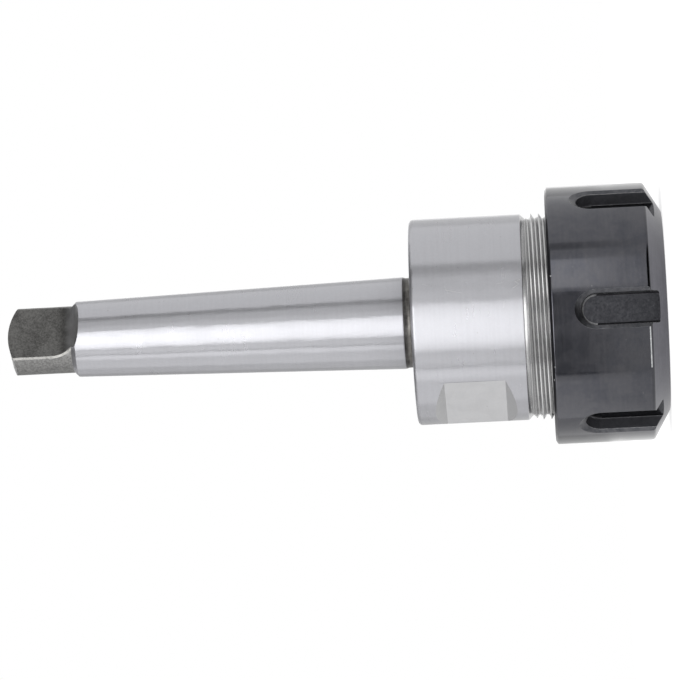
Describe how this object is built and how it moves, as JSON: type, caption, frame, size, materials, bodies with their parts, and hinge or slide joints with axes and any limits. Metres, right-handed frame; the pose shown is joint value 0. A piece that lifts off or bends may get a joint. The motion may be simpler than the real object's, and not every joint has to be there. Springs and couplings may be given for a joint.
{
  "type": "collet chuck holder",
  "caption": "Taper-shank collet chuck: a hardened holder with wrench flats and a tang, a slotted clamping nut on a fine thread, and a spring collet for round tool shanks.",
  "frame": {"origin": "on the chuck's axis, in the plane of the clamping nut's front face", "axes": "+Z along the chuck's axis from the clamping nut to the tang, so the chuck stands on its nut with the shank up; the picture looks along +Y, with its top towards +X"},
  "size_m": [0.05, 0.05, 0.128],
  "materials": {
    "ground_steel": "cylindrically ground hardened steel, bright, with fine turning lines; the tang and the neck are left as hardened, dark grey",
    "blackened_steel": "turned and milled steel, blackened, oiled, smooth with a soft sheen",
    "spring_steel": "finely ground spring steel"
  },
  "bodies": {
    "holder": {"holder_body": "ground_steel"},
    "collet": {"collet": "spring_steel"},
    "nut": {"clamping_nut": "blackened_steel"}
  },
  "joints": [
    {"name": "collet_travel", "type": "slide", "parent": "holder", "child": "collet", "axis": [0, 0, -1], "range_m": [0, 0.009]},
    {"name": "nut_turn", "type": "hinge", "parent": "collet", "child": "nut", "pos_m": [0, 0, 0], "axis": [0, 0, -1], "range_deg": [0, 2160]}
  ],
  "couplings": [
    {"joint": "collet_travel", "follows": "nut_turn", "m_per_rad": 0.00023873}
  ]
}
